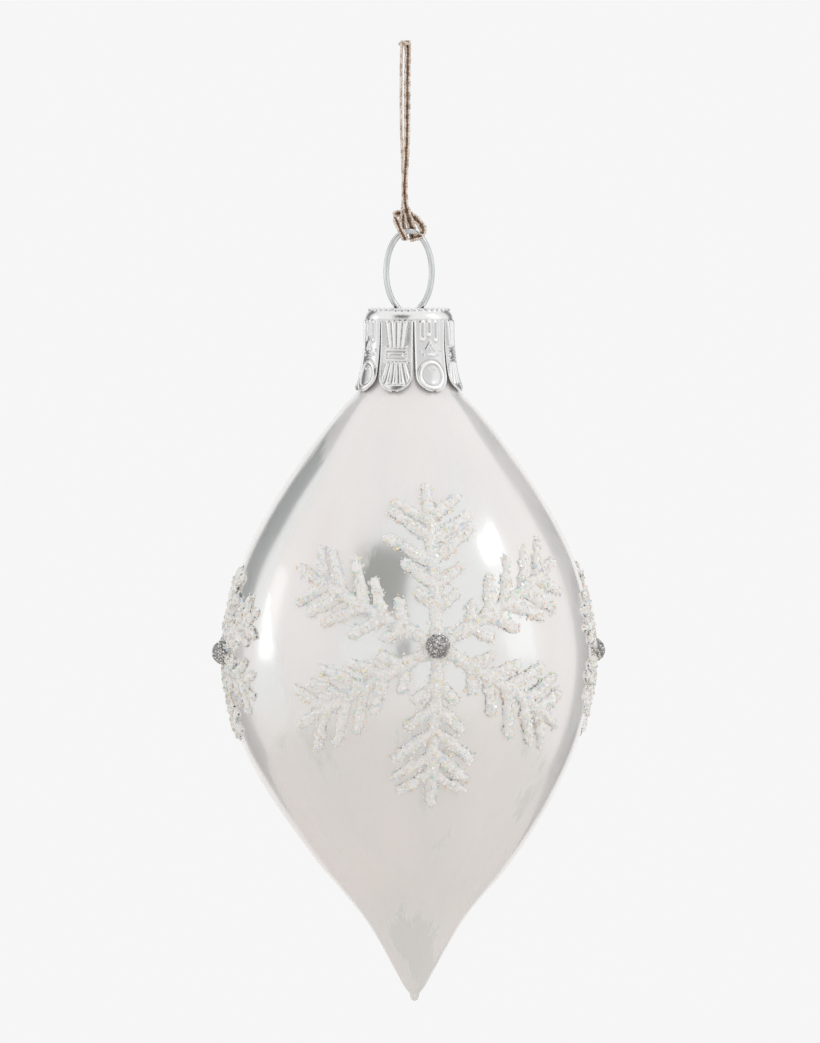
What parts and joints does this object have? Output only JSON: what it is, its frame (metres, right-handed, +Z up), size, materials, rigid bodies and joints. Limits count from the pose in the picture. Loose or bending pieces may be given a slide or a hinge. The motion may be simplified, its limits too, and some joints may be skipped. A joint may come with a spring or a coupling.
{
  "type": "hanging glass drop ornament",
  "caption": "Pointed blown glass drop ornament with raised glitter snowflakes, a crown cap, a spring wire hanger and a looped cord.",
  "frame": {"origin": "hook point, on the flat top where the cord's two strands are joined", "axes": "+Z up along the hanging ornament, front snowflake towards -Y, +X to the right as seen from the front"},
  "size_m": [0.0788, 0.0786, 0.1922],
  "materials": {
    "silvered_glass": "pearl white lacquer over silvered blown glass, glossy and opaque",
    "cap_metal": "bright stamped sheet",
    "wire_metal": "bright plated spring wire",
    "cord": "flat metallic champagne and brown cord",
    "glitter_paste": "white paste with iridescent glitter",
    "silver_glitter": "resin bead covered in silver glitter"
  },
  "bodies": {
    "knot": {"cord_knot": "cord"},
    "cord": {"cord_strand_left": "cord", "cord_strand_right": "cord"},
    "hitch": {"cord_hitch": "cord"},
    "hanger": {"hanger_wire": "wire_metal"},
    "cap": {"crown_cap": "cap_metal"},
    "glass": {"glass_drop": "silvered_glass", "snowflake_front": "glitter_paste", "snowflake_right": "glitter_paste", "snowflake_back": "glitter_paste", "snowflake_left": "glitter_paste", "jewel_front": "silver_glitter", "jewel_right": "silver_glitter", "jewel_back": "silver_glitter", "jewel_left": "silver_glitter"}
  },
  "joints": [
    {"name": "hook_sway", "type": "hinge", "parent": "knot", "child": "cord", "pos_m": [-0.0009, 0, 0], "axis": [0, 1, 0], "range_deg": [-30, 30]},
    {"name": "cord_twist", "type": "hinge", "parent": "cord", "child": "hitch", "pos_m": [-0.0009, 0, -0.0337], "axis": [0, 0, 1], "range_deg": [-180, 180]},
    {"name": "ring_swing", "type": "hinge", "parent": "hitch", "child": "hanger", "pos_m": [0, 0, -0.0384], "axis": [1, 0, 0], "range_deg": [-35, 35]},
    {"name": "cap_slide", "type": "slide", "parent": "hanger", "child": "cap", "axis": [0, 0, -1], "range_m": [0, 0.003]},
    {"name": "glass_pull_off", "type": "slide", "parent": "cap", "child": "glass", "axis": [0, 0, -1], "range_m": [0, 0.03]}
  ]
}
